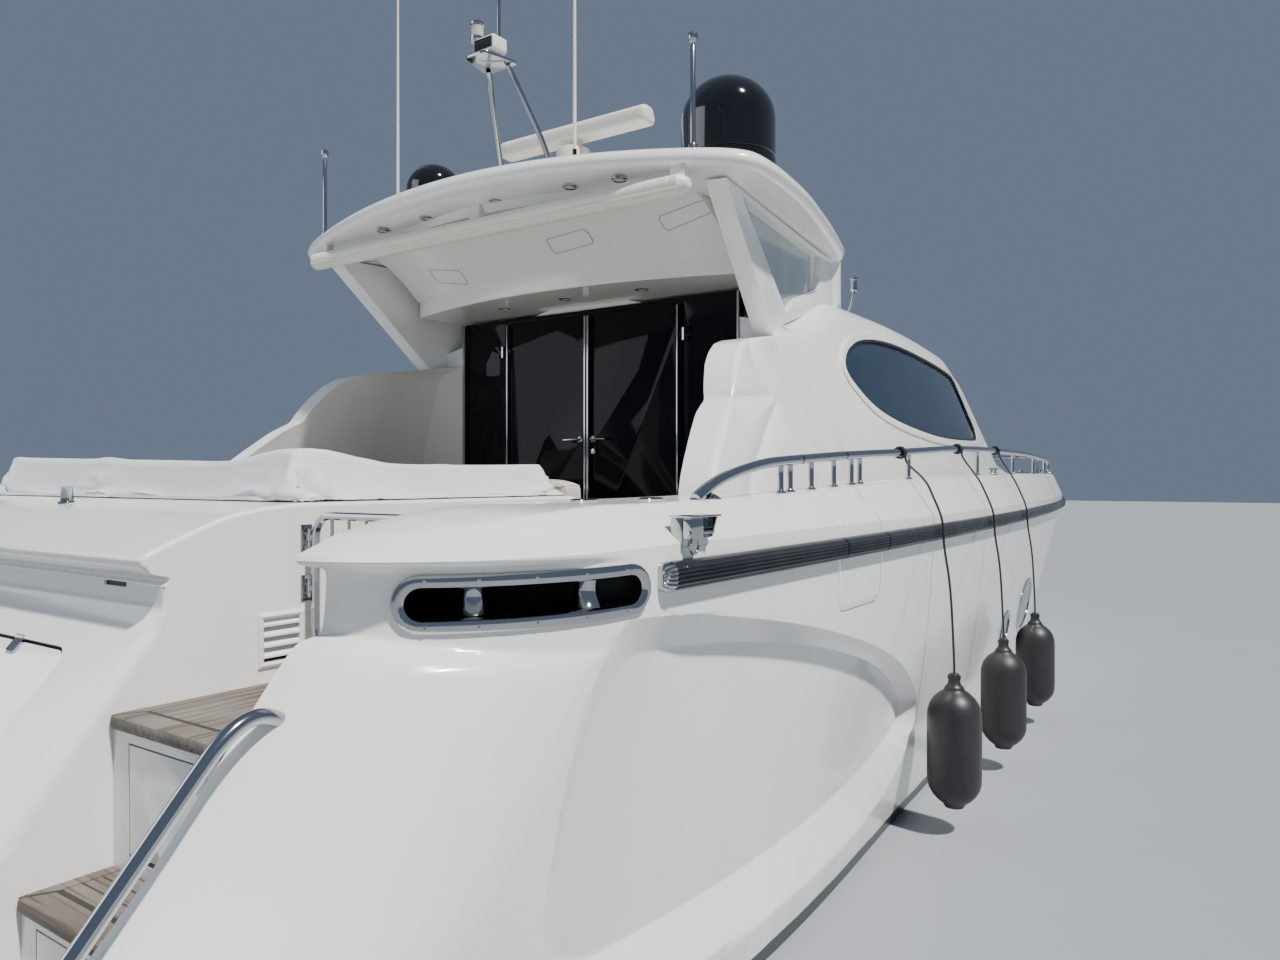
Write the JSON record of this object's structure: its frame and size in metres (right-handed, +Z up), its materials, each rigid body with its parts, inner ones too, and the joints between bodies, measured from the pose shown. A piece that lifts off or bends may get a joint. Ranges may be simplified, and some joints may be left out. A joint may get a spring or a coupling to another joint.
{
  "type": "motor yacht",
  "caption": "Hardtop motor yacht afloat: raked stern quarters, hollow deckhouse with glass doors, roof gear, gates, lockers, propellers and rudders.",
  "frame": {"origin": "on the centreline amidships, at the height of the waterline", "axes": "+Y towards the bow, +X to starboard, +Z up"},
  "size_m": [5.1628, 19.5, 7.5134],
  "materials": {
    "gelcoat": "polished off-white gelcoat",
    "tinted_glass": "dark blue tinted glass",
    "door_glass": "near-black glass in slim frames",
    "stainless": "polished stainless steel",
    "teak": "weathered teak boards with black caulking",
    "cream_plastic": "cream painted plastic and canvas",
    "black_gloss": "gloss black",
    "black_rubber": "black rubber and vinyl",
    "cover_fabric": "pale coated cover cloth",
    "upholstery": "cream marine vinyl",
    "bronze": "cast bronze"
  },
  "bodies": {
    "root": {"hull": "gelcoat", "transom_moulding": "gelcoat", "deckhouse": "gelcoat", "hardtop": "gelcoat", "side_screen_starboard": "gelcoat", "side_screen_port": "gelcoat", "windscreen": "tinted_glass", "side_window_starboard": "tinted_glass", "side_window_port": "tinted_glass", "door_frame": "door_glass", "awning_cassette": "cream_plastic", "radar_pedestal": "cream_plastic", "satellite_dome": "black_gloss", "tv_dome": "black_gloss", "mast": "stainless", "whip_aerial_port": "cream_plastic", "whip_aerial_centre": "cream_plastic", "rub_rail_aft_starboard": "black_rubber", "rub_rail_aft_port": "black_rubber", "rub_rail_forward": "black_rubber", "handrail_aft_starboard": "stainless", "handrail_aft_port": "stainless", "bow_rail": "stainless", "mooring_port_starboard": "stainless", "mooring_port_port": "stainless", "swim_platform": "teak", "cockpit_sole": "teak", "stair_rail_starboard": "stainless", "stair_rail_port": "stainless", "sunbed_cover": "cover_fabric", "cockpit_sofa": "upholstery", "helm_console": "upholstery", "saloon_sofa": "upholstery", "shaft_starboard": "stainless", "shaft_port": "stainless", "anchor": "stainless", "fender_1": "black_rubber", "fender_2": "black_rubber", "fender_3": "black_rubber"},
    "door_starboard": {"saloon_door_starboard": "door_glass"},
    "door_port": {"saloon_door_port": "door_glass"},
    "radar": {"radar_array": "cream_plastic"},
    "gate_starboard": {"side_gate_starboard": "gelcoat"},
    "gate_port": {"side_gate_port": "gelcoat"},
    "locker_upper_starboard": {"riser_locker_upper_starboard": "gelcoat"},
    "locker_lower_starboard": {"riser_locker_lower_starboard": "gelcoat"},
    "locker_upper_port": {"riser_locker_upper_port": "gelcoat"},
    "locker_lower_port": {"riser_locker_lower_port": "gelcoat"},
    "garage": {"garage_door": "gelcoat"},
    "stairgate_starboard": {"stair_gate_starboard": "stainless"},
    "stairgate_port": {"stair_gate_port": "stainless"},
    "wheel": {"steering_wheel": "black_rubber"},
    "prop_starboard": {"propeller_starboard": "bronze"},
    "prop_port": {"propeller_port": "bronze"},
    "rudder_s": {"rudder_starboard": "bronze"},
    "rudder_p": {"rudder_port": "bronze"},
    "hatch": {"foredeck_hatch": "gelcoat"}
  },
  "joints": [
    {"name": "door_starboard_swing", "type": "hinge", "parent": "root", "child": "door_starboard", "pos_m": [0.78, -3.856, 2.2], "axis": [0, 0, 1], "range_deg": [0, 110]},
    {"name": "door_port_swing", "type": "hinge", "parent": "root", "child": "door_port", "pos_m": [-0.78, -3.856, 2.2], "axis": [0, 0, -1], "range_deg": [0, 110]},
    {"name": "radar_spin", "type": "hinge", "parent": "root", "child": "radar", "pos_m": [-0.045, -3.95, 4.3], "axis": [0, 0, 1], "continuous": true},
    {"name": "gate_starboard_fold", "type": "hinge", "parent": "root", "child": "gate_starboard", "pos_m": [2.4, -4.875, 1.404], "axis": [0, 1, 0], "range_deg": [0, 90]},
    {"name": "gate_port_fold", "type": "hinge", "parent": "root", "child": "gate_port", "pos_m": [-2.4, -4.875, 1.404], "axis": [0, -1, 0], "range_deg": [0, 90]},
    {"name": "locker_upper_starboard_drop", "type": "hinge", "parent": "root", "child": "locker_upper_starboard", "pos_m": [1.58, -7.7, 0.958], "axis": [1, 0, 0], "range_deg": [0, 90]},
    {"name": "locker_lower_starboard_drop", "type": "hinge", "parent": "root", "child": "locker_lower_starboard", "pos_m": [1.58, -7.932, 0.528], "axis": [1, 0, 0], "range_deg": [0, 90]},
    {"name": "locker_upper_port_drop", "type": "hinge", "parent": "root", "child": "locker_upper_port", "pos_m": [-1.58, -7.7, 0.958], "axis": [1, 0, 0], "range_deg": [0, 90]},
    {"name": "locker_lower_port_drop", "type": "hinge", "parent": "root", "child": "locker_lower_port", "pos_m": [-1.58, -7.932, 0.528], "axis": [1, 0, 0], "range_deg": [0, 90]},
    {"name": "garage_door_lift", "type": "hinge", "parent": "root", "child": "garage", "pos_m": [0, -7.64, 1.49], "axis": [-1, 0, 0], "range_deg": [0, 75]},
    {"name": "stairgate_starboard_swing", "type": "hinge", "parent": "root", "child": "stairgate_starboard", "pos_m": [1.322, -7.07, 1.7], "axis": [0, 0, 1], "range_deg": [0, 90]},
    {"name": "stairgate_port_swing", "type": "hinge", "parent": "root", "child": "stairgate_port", "pos_m": [-1.322, -7.07, 1.7], "axis": [0, 0, -1], "range_deg": [0, 90]},
    {"name": "prop_starboard_spin", "type": "hinge", "parent": "root", "child": "prop_starboard", "pos_m": [0.76, -7.55, -0.93], "axis": [0, 0.982, 0.1889], "continuous": true},
    {"name": "prop_port_spin", "type": "hinge", "parent": "root", "child": "prop_port", "pos_m": [-0.76, -7.55, -0.93], "axis": [0, 0.982, 0.1889], "continuous": true},
    {"name": "rudder_port_turn", "type": "hinge", "parent": "root", "child": "rudder_p", "pos_m": [-0.76, -8.1, -0.9], "axis": [0, 0, 1], "range_deg": [-35, 35]},
    {"name": "rudder_starboard_turn", "type": "hinge", "parent": "root", "child": "rudder_s", "pos_m": [0.76, -8.1, -0.9], "axis": [0, 0, 1], "range_deg": [-35, 35]},
    {"name": "wheel_turn", "type": "hinge", "parent": "root", "child": "wheel", "pos_m": [0.62, -1.2687, 2.2312], "axis": [0, -0.9207, 0.3903], "range_deg": [-350, 350]},
    {"name": "hatch_lift", "type": "hinge", "parent": "root", "child": "hatch", "pos_m": [0, 6.934, 1.971], "axis": [-1, 0, 0], "range_deg": [0, 80]}
  ],
  "couplings": [
    {"joint": "rudder_starboard_turn", "follows": "rudder_port_turn", "ratio": 1},
    {"joint": "wheel_turn", "follows": "rudder_port_turn", "ratio": 10}
  ]
}
